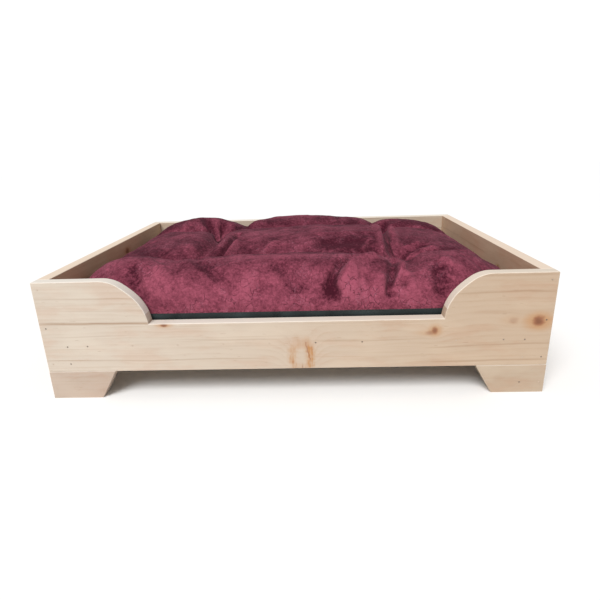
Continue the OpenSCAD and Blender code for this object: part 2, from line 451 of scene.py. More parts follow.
def ease_edges(mesh, width):
    """Rounds every real edge, and marks the rounds and the faces that look up for the material, which paints
    those faces paler as sawn wood with painted highlight.
    """
    eased = mesh.faces.layers.float.new("eased_edge")
    upward = mesh.faces.layers.float.new("top_edge")
    for face in mesh.faces:
        face[upward] = 1.0 if face.normal.z > 0.3 else 0.0
    sharp = [e for e in mesh.edges if e.calc_face_angle(0.0) > SHARP_ANGLE]
    made = bmesh.ops.bevel(mesh, geom=sharp, offset=width, offset_type="OFFSET", segments=3,
                           profile=0.5, affect="EDGES", clamp_overlap=True)
    for face in made["faces"]:
        face[eased] = 1.0


def mesh_piece(name, mesh):
    """Turns a bmesh into an object at the origin."""
    data = bpy.data.meshes.new(name)
    mesh.to_mesh(data)
    mesh.free()
    piece = bpy.data.objects.new(name, data)
    bpy.context.scene.collection.objects.link(piece)
    return piece


def apply_modifiers(piece):
    """Swaps in a piece's evaluated mesh and takes its modifiers off."""
    bpy.context.view_layer.update()
    graph = bpy.context.evaluated_depsgraph_get()
    data = bpy.data.meshes.new_from_object(piece.evaluated_get(graph), preserve_all_data_layers=True,
                                           depsgraph=graph)
    data.name = piece.name
    piece.modifiers.clear()
    piece.data = data


def brad_seats():
    """Every brad's head middle and the direction it was driven in, read from the frame's brads."""
    seats = {}
    for group in ("corner_brads", "post_brads", "foot_brads", "ledger_brads", "slat_brads"):
        mesh = bmesh.new()
        mesh.from_mesh(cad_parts[group].data)
        bmesh.ops.remove_doubles(mesh, verts=mesh.verts, dist=1e-6)
        left, seats[group] = set(mesh.verts), []
        while left:
            island, queue = [], [left.pop()]
            while queue:
                vert = queue.pop()
                island.append(vert.co.copy())
                near = {e.other_vert(vert) for e in vert.link_edges} & left
                left -= near
                queue.extend(near)
            points = np.array(island)
            low, high = points.min(0), points.max(0)
            axis = int(np.argmax(high - low))
            middle = (low + high) / 2
            spread = np.abs(np.delete(points - middle, axis, 1)).max(1)
            head = points[spread > spread.max() * 0.9][:, axis].mean()
            outward = 1.0 if head > middle[axis] else -1.0
            place, direction = Vector(middle), Vector((0, 0, 0))
            place[axis] = high[axis] if outward > 0 else low[axis]
            direction[axis] = -outward
            seats[group].append((place, direction))
        mesh.free()
    return seats


SEATS = brad_seats()


def drill(piece, low, high):
    """Sinks a small round hole over every brad whose head lies just inside the box."""
    look = bpy.context.scene.bed_brads
    cutter = bmesh.new()
    for group in SEATS.values():
        for place, direction in group:
            if not all(low[i] - MM < place[i] < high[i] + MM for i in range(3)):
                continue
            turn = direction.to_track_quat("Z", "Y").to_matrix().to_4x4()
            middle = place + direction * (0.3 * MM - HOLE_DEPTH / 2)
            bmesh.ops.create_cone(cutter, cap_ends=True, segments=14, radius1=look.head_radius * 1.12,
                                  radius2=look.head_radius * 1.02, depth=HOLE_DEPTH + MM,
                                  matrix=Matrix.Translation(middle) @ turn)
    if not cutter.verts:
        cutter.free()
        return
    tool = mesh_piece("drill_tool", cutter)
    cut = piece.modifiers.new("Holes", "BOOLEAN")
    cut.operation, cut.solver, cut.object = "DIFFERENCE", "EXACT", tool
    apply_modifiers(piece)
    bpy.data.objects.remove(tool)


def finish_timber(mesh, node, material):
    """Drills, smooths, paints and mounts a piece of timber in place of its plain node."""
    piece = mesh_piece(node + "_timber", mesh)
    drill(piece, *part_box(node))
    for polygon in piece.data.polygons:
        polygon.use_smooth = True
    normals = piece.modifiers.new("Normals", "WEIGHTED_NORMAL")
    normals.mode, normals.keep_sharp, normals.weight = "FACE_AREA", True, 100
    apply_modifiers(piece)
    piece.data.materials.clear()
    piece.data.materials.append(material)
    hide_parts(node)
    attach(piece, "frame")


def plank(node, material):
    """A squared piece of timber as large as its node."""
    low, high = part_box(node)
    outline = [(low.x, low.y), (high.x, low.y), (high.x, high.y), (low.x, high.y)]
    mesh = extruded(outline, lambda u, v, w: (u, v, w), low.z, high.z)
    ease_edges(mesh, bpy.context.scene.bed_timber.edge_round)
    finish_timber(mesh, node, material)


def arc_run(start, heading, end, radius, steps):
    """Points of an arc that leaves start and turns clockwise from heading to end, in degrees."""
    points = []
    first = math.radians(heading)
    for i in range(1, steps + 1):
        turn = math.radians(heading + (end - heading) * i / steps)
        points.append((start[0] + radius * (math.sin(first) - math.sin(turn)),
                       start[1] + radius * (math.cos(turn) - math.cos(first))))
    return points


def shoulder(drop):
    """The curve beside the entry, from its low corner up to the top edge, for a given drop."""
    points = [(0.0, 0.0)]
    for heading, end, radius, steps in ((85, 45, 1.04, 16), (45, 36, 2.1, 5), (36, 0, 0.73, 14)):
        points += arc_run(points[-1], heading, end, radius, steps)
    scale = drop / points[-1][1]
    return [(x * scale, z * scale) for x, z in points]


def entry_opening():
    """Left, right and low edge of the entry, read from the frame's front board."""
    low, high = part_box("front_board")
    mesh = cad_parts["front_board"].data
    spots = sorted({(round(v.co.x, 5), round(v.co.z, 5)) for v in mesh.vertices
                    if low.z + 0.05 < v.co.z < high.z - 0.05 and abs(v.co.x) < high.x - 0.1})
    opening = [spot for spot in spots if spot[1] > (low.z + high.z) / 2 - 0.01]
    rail_z = min(z for _, z in opening)
    rail = [x for x, z in opening if abs(z - rail_z) < 0.5 * MM]
    return min(rail), max(rail), rail_z


def front_board_outline():
    """The front board seen from the front, with its cut-down entry."""
    low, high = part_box("front_board")
    left, right, rail = entry_opening()
    rise = shoulder(high.z - rail)
    right_side = [(right + x, rail + z) for x, z in reversed(rise)]
    left_side = [(left - x, rail + z) for x, z in rise]
    return [(low.x, low.z), (high.x, low.z), (high.x, high.z), *right_side, *left_side, (low.x, high.z)]


# Knots are (along, across, half length, half width, darkness) and streaks are (from, to, across, half width,
# darkness), in metres. The flame is (along, across, size).
FRONT_KNOTS = (
    (0.3785, 0.1225, 0.0095, 0.0090, 0.95),
    (0.2215, 0.1095, 0.0050, 0.0065, 0.85),
    (0.2150, 0.1060, 0.0090, 0.0040, 0.40),
    (-0.2010, 0.1265, 0.0060, 0.0032, 0.75),
    (0.3400, 0.1240, 0.0080, 0.0060, 0.22),
)
FRONT_STREAKS = (
    (-0.40, -0.20, 0.131, 0.0035, 0.80),
    (-0.40, -0.24, 0.1725, 0.0020, 0.30),
    (-0.40, -0.05, 0.067, 0.0018, 0.45),
    (0.24, 0.40, 0.1955, 0.0040, 0.30),
    (0.25, 0.40, 0.1685, 0.0026, 0.50),
    (0.22, 0.40, 0.0835, 0.0020, 0.45),
    (0.22, 0.40, 0.0575, 0.0030, 0.55),
    (-0.38, -0.27, 0.110, 0.0016, 0.30),
    (0.28, 0.40, 0.137, 0.0060, 0.22),
    (0.05, 0.21, 0.098, 0.0016, 0.25),
    (-0.18, -0.02, 0.101, 0.0018, 0.25),
    (-0.36, -0.22, 0.152, 0.0014, 0.25),
)
FRONT_FLAME = (0.014, 0.072, 0.026)
BACK_KNOTS = ((-0.21, 0.10, 0.010, 0.008, 0.9), (0.12, 0.15, 0.007, 0.006, 0.8),
              (0.31, 0.08, 0.012, 0.009, 0.7))
BACK_STREAKS = ((-0.40, -0.10, 0.085, 0.003, 0.5), (0.0, 0.40, 0.165, 0.002, 0.4),
                (-0.2, 0.2, 0.125, 0.002, 0.3))
LEFT_KNOTS = ((0.035, 0.176, 0.009, 0.007, 0.85), (-0.19, 0.09, 0.010, 0.009, 0.85))
LEFT_STREAKS = ((-0.28, 0.05, 0.150, 0.003, 0.5), (-0.10, 0.28, 0.080, 0.002, 0.4))
RIGHT_KNOTS = ((0.13, 0.12, 0.011, 0.009, 0.8), (-0.12, 0.16, 0.006, 0.005, 0.7))
RIGHT_STREAKS = ((-0.28, 0.10, 0.130, 0.004, 0.4), (-0.05, 0.28, 0.175, 0.002, 0.4))
# The plain boards as (node, name of the pine, grain, seed, knots, tone, pith, streaks)
PLAIN_BOARDS = (
    ("back_board", "pine_back", "X", 4.1, BACK_KNOTS, (0.90, 0.88, 0.85), (0.16, 0.33), BACK_STREAKS),
    ("left_side_board", "pine_left", "Y", 7.7, LEFT_KNOTS, (0.90, 0.74, 0.61), (0.05, -0.43), LEFT_STREAKS),
    ("right_side_board", "pine_right", "Y", 9.2, RIGHT_KNOTS, (0.88, 0.72, 0.61), (0.17, 0.42),
     RIGHT_STREAKS),
)


class BED_OT_boards(bpy.types.Operator):
    """Builds the four boards of the box"""
    bl_idname = "bed.boards"
    bl_label = "Build Boards"

    def execute(self, context):
        low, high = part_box("front_board")
        mesh = extruded(front_board_outline(), lambda u, v, w: (u, w, v), low.y, high.y)
        ease_edges(mesh, context.scene.bed_timber.edge_round)
        material = pine("pine_front", "X", 1.3, FRONT_KNOTS, (0.865, 0.88, 0.905), (0.02, -0.33),
                        FRONT_STREAKS, FRONT_FLAME, (0.73, 0.65, 0.58))
        finish_timber(mesh, "front_board", material)
        for node, *wood in PLAIN_BOARDS:
            plank(node, pine(*wood))
        return {"FINISHED"}


def foot_outline(node, run):
    """Corners of a foot plate along its run (0 for X, 1 for Y), with the slanting inner edge."""
    low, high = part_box(node)
    points = [v.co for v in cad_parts[node].data.vertices]
    at_floor = [p[run] for p in points if p.z < low.z + 0.1 * MM]
    return [(min(at_floor), low.z), (max(at_floor), low.z), (high[run], high.z), (low[run], high.z)]


FOOT_TONES = {"front_left": (0.71, 0.67, 0.67), "front_right": (0.69, 0.64, 0.59),
              "back_left": (0.84, 0.80, 0.76), "back_right": (0.82, 0.76, 0.72)}


class BED_OT_feet(bpy.types.Operator):
    """Builds the bracket feet, two plates at each corner"""
    bl_idname = "bed.feet"
    bl_label = "Build Feet"

    def execute(self, context):
        edge = context.scene.bed_timber.edge_round / 2
        for i, corner in enumerate(CORNERS):
            end = corner.split("_")[0]
            for run, node in ((0, f"{corner}_foot_{end}"), (1, f"{corner}_foot_side")):
                low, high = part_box(node)
                sides = (low.y, high.y) if run == 0 else (low.x, high.x)
                place = (lambda u, v, w: (u, w, v)) if run == 0 else (lambda u, v, w: (w, u, v))
                mesh = extruded(foot_outline(node, run), place, *sides)
                ease_edges(mesh, edge)
                material = pine("pine_" + node, "XY"[run], 12.0 + 2.3 * i + run, (), FOOT_TONES[corner],
                                (-0.03, -0.03))
                finish_timber(mesh, node, material)
        return {"FINISHED"}


class BED_OT_base(bpy.types.Operator):
    """Builds the corner posts, the ledgers and the slats"""
    bl_idname = "bed.base"
    bl_label = "Build Slatted Base"

    def execute(self, context):
        batten = (0.90, 0.85, 0.78)
        for i, corner in enumerate(CORNERS):
            material = pine(f"pine_{corner}_post", "Z", 21.0 + i, (), batten, (0.02, 0.02))
            plank(corner + "_post", material)
        for i, end in enumerate(("front", "back")):
            material = pine(f"pine_{end}_ledger", "X", 31.0 + 2 * i, (), batten, (0.03, 0.0))
            plank(end + "_ledger", material)
        slats = sorted(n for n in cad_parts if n.startswith("slat_") and n[5:].isdigit())
        for i, node in enumerate(slats):
            low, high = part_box(node)
            middle = (low.x + high.x) / 2
            knot = (0.21 * math.sin(2.4 * i), middle + 0.008, 0.009, 0.006, 0.7)
            material = pine(f"pine_{node}", "SLAT", 41.0 + 1.7 * i, (knot,) if i % 3 == 1 else (),
                            (0.96, 0.93, 0.88), (middle + 0.02, 0.06))
            plank(node, material)
        return {"FINISHED"}


# ---------------------------------------------------------------- brads

def brad_material():
    """Dull steel, with dust on about half of the heads."""
    material, s = new_material("brad_steel")
    place = s.place()
    dull = s.noise(place, 900, 3)
    side = s.size(s.split(place)[0])
    dusty = s.smooth(s.add(s.noise(place, 37, 1), s.mul(side, 0.28)), 0.61, 0.57)
    steel = s.mix(dull, (0.13, 0.095, 0.07), (0.26, 0.21, 0.17))
    colour = s.mix(dusty, steel, (0.56, 0.45, 0.35))
    close_material(s, Base_Color=colour, Roughness=s.add(0.55, s.mul(dull, 0.3)), Metallic=0.10,
                   Normal=s.bump(s.noise(place, 2600, 2), 0.05 * MM, 0.5))
    return material


def brad_mesh():
    """One brad along +Z: a slightly dished round head and a shank with a point."""
    look = bpy.context.scene.bed_brads
    r = look.head_radius
    profile = ((0.0, 0.12 * r), (0.55 * r, 0.12 * r), (0.8 * r, 0.02 * r), (r, 0.1 * r), (r, 0.6 * r),
               (0.6 * r, 0.8 * r), (0.6 * r, 6 * r), (0.0, 7.5 * r))
    mesh = bmesh.new()
    steps = 12
    loops = []
    for radius, z in profile:
        turns = [math.tau * i / steps for i in range(steps if radius else 1)]
        loops.append([mesh.verts.new((radius * math.cos(a), radius * math.sin(a), z)) for a in turns])
    for a, b in zip(loops, loops[1:]):
        for i in range(steps):
            j = (i + 1) % steps
            corners = [a[i % len(a)], a[j % len(a)], b[j % len(b)], b[i % len(b)]]
            mesh.faces.new(list(dict.fromkeys(corners)))
    bmesh.ops.recalc_face_normals(mesh, faces=mesh.faces)
    return mesh


def scatter_tree(name, shape, material):
    """Geometry Nodes that put a shape on every point, turned to the point's own direction."""
    tree = bpy.data.node_groups.new(name, "GeometryNodeTree")
    tree.interface.new_socket("Geometry", in_out="INPUT", socket_type="NodeSocketGeometry")
    tree.interface.new_socket("Size", in_out="INPUT", socket_type="NodeSocketFloat")
    tree.interface.new_socket("Geometry", in_out="OUTPUT", socket_type="NodeSocketGeometry")
    nodes, link = tree.nodes, tree.links.new
    start = nodes.new("NodeGroupInput")
    end = nodes.new("NodeGroupOutput")
    source = nodes.new("GeometryNodeObjectInfo")
    source.inputs["Object"].default_value = shape
    direction = nodes.new("GeometryNodeInputNamedAttribute")
    direction.data_type = "FLOAT_VECTOR"
    direction.inputs["Name"].default_value = "direction"
    align = nodes.new("FunctionNodeAlignRotationToVector")
    align.axis = "Z"
    link(direction.outputs["Attribute"], align.inputs["Vector"])
    spread = nodes.new("GeometryNodeInstanceOnPoints")
    link(start.outputs["Geometry"], spread.inputs["Points"])
    link(source.outputs["Geometry"], spread.inputs["Instance"])
    link(align.outputs["Rotation"], spread.inputs["Rotation"])
    link(start.outputs["Size"], spread.inputs["Scale"])
    real = nodes.new("GeometryNodeRealizeInstances")
    paint = nodes.new("GeometryNodeSetMaterial")
    paint.inputs["Material"].default_value = material
    link(spread.outputs["Instances"], real.inputs["Geometry"])
    link(real.outputs["Geometry"], paint.inputs["Geometry"])
    link(paint.outputs["Geometry"], end.inputs["Geometry"])
    return tree


def socket_of(tree, name):
    """Identifier of a tree's named input."""
    return next(item.identifier for item in tree.interface.items_tree
                if item.name == name and item.in_out == "INPUT")


def scatter(name, points, directions, shape_mesh, material, size=1.0):
    """A plain mesh of the shape repeated at each point along its direction."""
    shape = mesh_piece(name + "_shape", shape_mesh)
    data = bpy.data.meshes.new(name)
    data.from_pydata([tuple(p) for p in points], [], [])
    attribute = data.attributes.new("direction", "FLOAT_VECTOR", "POINT")
    attribute.data.foreach_set("vector", np.array(directions, np.float32).ravel())
    piece = bpy.data.objects.new(name, data)
    bpy.context.scene.collection.objects.link(piece)
    tree = scatter_tree(name + "_tree", shape, material)
    scatterer = piece.modifiers.new("Scatter", "NODES")
    scatterer.node_group = tree
    scatterer[socket_of(tree, "Size")] = size
    apply_modifiers(piece)
    bpy.data.objects.remove(shape)
    if not piece.data.polygons:
        raise RuntimeError(f"{name} came out empty")
    return piece


class BED_OT_brads(bpy.types.Operator):
    """Sets a brad in every hole of the boards, feet, posts, ledgers and slats"""
    bl_idname = "bed.brads"
    bl_label = "Set Brads"

    def execute(self, context):
        steel = brad_material()
        raised = SEAT_DEPTH - context.scene.bed_brads.sink
        for group, seats in SEATS.items():
            places = [place - direction * raised for place, direction in seats]
            ways = [direction for _, direction in seats]
            piece = scatter(group + "_set", places, ways, brad_mesh(), steel)
            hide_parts(group)
            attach(piece, "frame")
        return {"FINISHED"}


# ---------------------------------------------------------------- cushion

def plush_material():
    """Crushed plush: pale where the nap stands up, dark along its lie, with fine cracks and crinkles; painted
    shade darkens its valleys and the dips of folds, and painted highlight lightens its ridges, front faces
    and crinkles.
    """
    look = bpy.context.scene.bed_cushion
    material, s = new_material("plush_velvet")
    place = s.place()
    crush = s.noise(place, 20, 5, 0.62, 0.7)
    patches = s.noise(place, 60, 4, 0.65, 0.5)
    grit = s.noise(place, 230, 3, 0.7)
    pile = s.noise(place, 850, 2, 0.6)
    # The nap value brings painted light and shade, and the fold heights paint the ridges of folds lighter and
    # their dips darker, as painted highlight and painted shade.
    raised = s.add(s.mul(s.attribute("nap"), 0.80), s.mul(s.attribute("fold"), 0.26))
    for value, size in ((crush, 0.95), (patches, 1.0), (grit, 1.5), (pile, 0.8)):
        raised = s.add(raised, centred(s, value, size))
    colour = s.mix(raised, look.plush_dark_and_shade, look.plush_light_and_highlight)
    cell = s.node("ShaderNodeTexVoronoi", {"Vector": s.wander(place, 60, 0.022), "Scale": 58.0},
                  feature="DISTANCE_TO_EDGE")
    crack = s.mul(s.smooth(cell.outputs["Distance"], 0.060, 0.0), s.smooth(grit, 0.42, 0.56))
    crack = s.mul(crack, s.smooth(crush, 0.44, 0.54))
    colour = s.mix(s.mul(crack, 0.75), colour, (0.05, 0.008, 0.016))
    # The crinkle lines of the crushed pile, painted pale pink as a sheen highlight.
    wear_and_sheen = s.noise(place, 75, 3, 0.6, 1.2)
    crinkle_highlight = s.mul(s.smooth(s.size(s.sub(wear_and_sheen, 0.5)), 0.014, 0.0), s.smooth(crush, 0.50, 0.62))
    colour = s.mix(s.mul(crinkle_highlight, 0.30), colour, (0.52, 0.25, 0.33))
    height = s.add(s.mul(grit, 0.9), s.add(s.mul(pile, 0.4), s.mul(crack, -0.5)))
    normal = s.bump(height, 1.6 * MM, 0.7, s.bump(patches, 4 * MM, 0.5))
    close_material(s, Base_Color=colour, Roughness=0.95, Normal=normal, Specular_IOR_Level=0.08,
                   Sheen_Weight=0.12, Sheen_Roughness=0.5, Sheen_Tint=(0.8, 0.4, 0.5))
    return material


def cloth_material():
    """Plain dark woven cloth, a little faded in places."""
    look = bpy.context.scene.bed_cushion
    material, s = new_material("base_cloth")
    place = s.place()
    weave = [s.node("ShaderNodeTexWave", {"Vector": place, "Scale": 420.0, "Distortion": 0.4},
                    bands_direction=way).outputs["Fac"] for way in ("X", "Z")]
    woven = s.math("MAXIMUM", *weave)
    fade = s.noise(place, 14, 3)
    wear_and_sheen = s.add(s.mul(woven, 0.25), s.smooth(fade, 0.40, 0.70))
    colour = s.mix(wear_and_sheen, look.base_cloth, (0.042, 0.062, 0.064))
    close_material(s, Base_Color=colour, Roughness=0.7, Normal=s.bump(woven, 0.3 * MM, 0.6),
                   Specular_IOR_Level=0.3, Sheen_Weight=0.15)
    return material


def thread_material(name, colour):
    """Twisted thread."""
    material, s = new_material(name)
    place = s.place()
    twist = s.node("ShaderNodeTexWave", {"Vector": place, "Scale": 700.0, "Distortion": 1.5},
                   bands_direction="DIAGONAL").outputs["Fac"]
    shade = s.mix(twist, tuple(c * 0.6 for c in colour), colour)
    normal = s.bump(twist, 0.2 * MM, 0.7)
    close_material(s, Base_Color=shade, Roughness=0.65, Normal=normal, Sheen_Weight=0.2)
    return material


# Height of the plush over its seam along the ridges and the valleys between them, as (x, height), in
# millimetres from the middle of the cushion
FRONT_RIDGE = (
    (-375, 66), (-330, 74), (-262, 77), (-165, 74), (-106, 74), (-45, 75), (27, 76), (115, 73), (160, 66),
    (197, 65), (249, 74), (282, 74), (312, 70), (375, 60))
FRONT_VALLEY = (
    (-375, 50), (-300, 52), (-240, 40), (-190, 22), (-140, 26), (0, 32), (140, 26), (190, 22), (240, 38),
    (300, 50), (375, 42))
MIDDLE_RIDGE = (
    (-375, 56), (-333, 66), (-259, 72), (-218, 77), (-203, 68), (-190, 46), (-177, 68), (-158, 77),
    (-66, 81), (25, 86), (136, 85), (162, 81), (175, 72), (187, 44), (199, 71), (239, 72), (281, 66),
    (333, 60), (375, 52))
BACK_VALLEY = (
    (-375, 58), (-300, 64), (-240, 48), (-190, 24), (-140, 34), (0, 44), (140, 34), (190, 24), (240, 44),
    (300, 52), (375, 42))
BACK_RIDGE = (
    (-375, 66), (-330, 79), (-258, 86), (-205, 84), (-165, 79), (-138, 71), (-112, 78), (0, 81), (59, 82),
    (154, 74), (188, 64), (212, 69), (254, 70), (334, 68), (375, 60))
FRONT_RIDGE_Y, MIDDLE_RIDGE_Y, BACK_RIDGE_Y = -200 * MM, 5 * MM, 207 * MM

# Folds as (width, height, *points), in millimetres. A point is x and the place along the cloth from front
# to back, which is y between the front and the back ridge.
FOLDS = (
    (9, 4.5, (135, -208), (113, -226), (94, -246), (75, -278)),
    (9, -4.5, (103, -208), (80, -240), (60, -278)),
    (9, -4.5, (72, -284), (69, -304)),
    (20, 5.5, (100, -262), (98, -298)),
    (7, -3.0, (118, -262), (119, -268)),
    (3, -1.8, (110, -262), (112, -304)),
    (7, 3.0, (144, -262), (142, -288)),
    (8, -4.2, (170, -205), (164, -250), (154, -292)),
    (6, 4.5, (180, -228), (174, -250), (160, -278)),
    (7, -2.2, (181, -255), (179, -268)),
    (8, 3.0, (187, -250), (193, -300)),
    (12, -3.0, (236, -245), (234, -288)),
    (8, 2.5, (252, -228), (256, -240)),
    (10, 3.0, (-60, -262), (-75, -295)),
    (12, -2.5, (-20, -240), (10, -285)),
    (10, -2.5, (-150, -225), (-120, -262)),
    (14, 2.5, (-215, -235), (-205, -285)),
    (10, -2.0, (-262, -235), (-240, -290)),
    (5, 2.2, (214, -95), (236, -84)),
    (5, 2.2, (228, -122), (262, -104)),
    (5, -2.0, (222, -108), (250, -94)),
    (5, 2.0, (252, -150), (290, -132)),
    (7, -4.5, (-146, -132), (-128, -62), (-122, 0)),
    (6, 3.5, (-132, -134), (-115, -70)),
    (8, -4.0, (-212, 150), (-186, 90), (-168, 30)),
    (7, 3.0, (-197, 150), (-172, 90)),
    (8, -2.0, (-240, 200), (-222, 160)),
    (9, -3.0, (-134, 220), (-130, 190), (-150, 150)),
    (6, 4.5, (172, 60), (167, -30), (163, -128)),
    (6, 5.5, (205, 30), (200, -40), (188, -122)),
    (10, 1.4, (50, -48), (150, -40)),
    (12, -1.5, (60, -92), (140, -84)),
    (6, 1.8, (128, -112), (146, -70)),
    (6, 1.8, (-60, -118), (-40, -80)),
    (12, 1.2, (-60, 215), (40, 205)),
    (9, -1.6, (92, 215), (100, 170)),
    (9, -3.0, (270, 60), (330, 75)),
    (9, -3.0, (-300, -20), (-345, -28)),
)
# Patches of brushed nap and of painted light and shade, among them a painted highlight along the front ridge,
# as (x, place along the cloth, half length, half width, how much lighter)
NAP_AND_LIGHT_PATCHES = (
    (-232, -262, 25, 28, 0.35),
    (-20, -255, 48, 24, 0.35),
    (96, -286, 22, 20, 0.35),
    (-150, -222, 45, 14, -0.15),
    (66, -280, 13, 30, -0.38),
    (20, -262, 14, 12, -0.25),
    (188, -275, 12, 30, 0.3),
    (240, -262, 15, 35, -0.2),
    (115, -45, 75, 65, -0.20),
    (-60, -40, 85, 55, 0.42),
    (150, -216, 35, 12, -0.25),
    (-330, -230, 35, 35, 0.15),
    (290, -120, 70, 60, -0.12),
    (0, -208, 110, 12, 0.30),
    (-290, 60, 70, 90, -0.1),
    (0, 215, 150, 30, -0.1),
    (-100, -285, 60, 18, 0.2),
)
# Bands from side to side, as (place along the cloth, half width, how much lighter): painted shade in the
# valleys and below the middle ridge, painted highlight on the middle and front ridges; the front one fades
# out to the sides
SHADE_AND_HIGHLIGHT_BANDS = ((-135, 26, -0.55), (-75, 40, -0.22), (152, 30, -0.50), (8, 40, 0.22))
FRONT_RIDGE_HIGHLIGHT = (-205, 13, 0.50)

COARSE = 4                # cells of the fine grid for each cell of the simulated one
TIE_HALF = 1.5 * MM       # half the thickness of a tie
OUTSET = 1 * MM           # how far the seam stands out past the plain cushion
MOST_OUT = 3 * MM         # how far the cushion may reach past it anywhere
PIT_FLOOR = 24 * MM       # height of the plush over its seam at a tie
PIT_WIDTH = 17 * MM
CROWN = 0.92              # share of the tables' heights that is left before puffing
BULGE = 5 * MM            # how far the sides swell out over the seam
FOLD_GAIN = 2.1           # every fold is laid this many times its listed height
# Pleats round a tie: height, distance from the tie and number
PLEAT, PLEAT_REACH, PLEATS = 2.4 * MM, 20 * MM, 8
# Ripples as (height, size, seed)
RIPPLES = ((1.7 * MM, 0.047, 1), (0.9 * MM, 0.021, 2), (0.4 * MM, 0.010, 3))
# Gathers at the seam: height, and width as a share of half the cushion
GATHER, HEM = 1.4 * MM, 0.05
# The dark cloth: radius of its lower edge, its ripples, and the depth, width and places of its tucks
HEM_ROUND = 13 * MM
CLOTH_RIPPLE = 1.3 * MM
TUCK, TUCK_WIDTH, TUCKS = 3.0 * MM, 7 * MM, (-187 * MM, -23 * MM, 62 * MM)


def cushion_plan():
    """Half the sides, heights of the seam and of the floor and place of a tie, read from the frame."""
    low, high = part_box("cushion_cover")
    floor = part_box("cushion_base")[0].z
    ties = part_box("cushion_ties")
    tie_x = (ties[1].x - ties[0].x) / 2 - TIE_HALF
    tie_y = (ties[1].y - ties[0].y) / 2 - TIE_HALF
    return high.x, high.y, low.z, floor, tie_x, tie_y


def grid_plan(columns, rows, half_x, half_y):
    """Grid parameters from -1 to 1, closer at the rim, and a plan whose corners are drawn in to a round."""
    s, t = (0.6 * k + 0.4 * np.sin(k * math.pi / 2) for k in (np.linspace(-1, 1, n) for n in (columns, rows)))
    s, t = np.meshgrid(s, t, indexing="ij")
    m = np.maximum(np.maximum(np.abs(s), np.abs(t)), 1e-9)
    spread = np.maximum(np.abs(s / m) ** 7 + np.abs(t / m) ** 7, 1.0)
    corner = (spread ** (-1 / 7) - 1.0) * m ** 3 + 1.0
    return s, t, half_x * s * corner, half_y * t * corner


def edge_rise(distance, width, power=2.3, root=0.5):
    """Height from 0 to 1 of a stuffed edge at a distance from the seam."""
    t = np.clip(distance / width, 0.0, 1.0)
    return (1.0 - (1.0 - t) ** power) ** root


def read_table(x, table, spread=7 * MM):
    """Height at x from a table in millimetres, with its corners rounded over the spread."""
    xs, heights = np.array(table).T * MM
    return sum(np.interp(x + k * spread / 3, xs, heights) for k in range(-3, 4)) / 7


def lump_height(x, y, half_y, tie_x, tie_y):
    """Height of the plush over its seam, from its ridges and valleys; the left valley is bowed."""
    bow = 24 * MM
    x = x - bow * np.clip(1 - (y / tie_y) ** 2, 0, 1) * np.exp(-((x + tie_x - bow) / (50 * MM)) ** 2)
    height = np.zeros_like(x)
    for ridge_y, ridge, foot_y, foot in (
            (FRONT_RIDGE_Y, FRONT_RIDGE, -half_y, None),
            (FRONT_RIDGE_Y, FRONT_RIDGE, -tie_y, FRONT_VALLEY),
            (MIDDLE_RIDGE_Y, MIDDLE_RIDGE, -tie_y, FRONT_VALLEY),
            (MIDDLE_RIDGE_Y, MIDDLE_RIDGE, tie_y, BACK_VALLEY),
            (BACK_RIDGE_Y, BACK_RIDGE, tie_y, BACK_VALLEY),
            (BACK_RIDGE_Y, BACK_RIDGE, half_y, None)):
        u = (y - ridge_y) / (foot_y - ridge_y)
        power, root = (2.2, 0.5) if foot is None else (2.5, 0.6)
        fall = (1 - np.clip(u, 0, 1) ** power) ** root
        low = 0.0 if foot is None else read_table(x, foot, 18 * MM)
        height = np.where((u >= 0) & (u <= 1), low + (read_table(x, ridge) - low) * fall, height)
    return height


def ripples(u, v, size, seed):
    """Smooth random values from -1 to 1, one lump every size."""
    table = np.random.default_rng(seed).uniform(-1, 1, (128, 128))
    u, v = u / size + 64, v / size + 64
    i, j = np.floor(u).astype(int), np.floor(v).astype(int)
    a, b = u - i, v - j
    a, b = a * a * (3 - 2 * a), b * b * (3 - 2 * b)
    i, j = i % 127, j % 127
    return ((table[i, j] * (1 - a) + table[i + 1, j] * a) * (1 - b)
            + (table[i, j + 1] * (1 - a) + table[i + 1, j + 1] * a) * b)


def fold_height(x, v, width, height, *path):
    """A soft fold along a path; v is the place along the cloth."""
    gap = np.full_like(x, 1.0)
    for (ax, av), (bx, bv) in zip(path, path[1:]):
        ax, av, bx, bv = (c * MM for c in (ax, av, bx, bv))
        dx, dv = bx - ax, bv - av
        u = np.clip(((x - ax) * dx + (v - av) * dv) / (dx * dx + dv * dv), 0, 1)
        gap = np.minimum(gap, np.hypot(x - ax - u * dx, v - av - u * dv))
    return height * MM * np.exp(-(gap / (width * MM)) ** 2)


def along_cloth(points, y, line, back):
    """Replaces y beyond a ridge line by the way along the cloth from that line."""
    steps = np.linalg.norm(np.diff(points[..., 1:], axis=1), axis=-1)
    way = np.concatenate([np.zeros((len(steps), 1)), np.cumsum(steps, axis=1)], axis=1)
    start = np.argmin(np.abs(y - line), axis=1)[:, None]
    from_line = way - np.take_along_axis(way, start, 1)
    beyond = y > line if back else y < line
    return np.where(beyond, line + from_line, y)


def normals_of(points):
    """Outward directions of a grid of points."""
    normals = np.cross(np.gradient(points, axis=0), np.gradient(points, axis=1))
    return normals / np.maximum(np.linalg.norm(normals, axis=-1, keepdims=True), 1e-12)


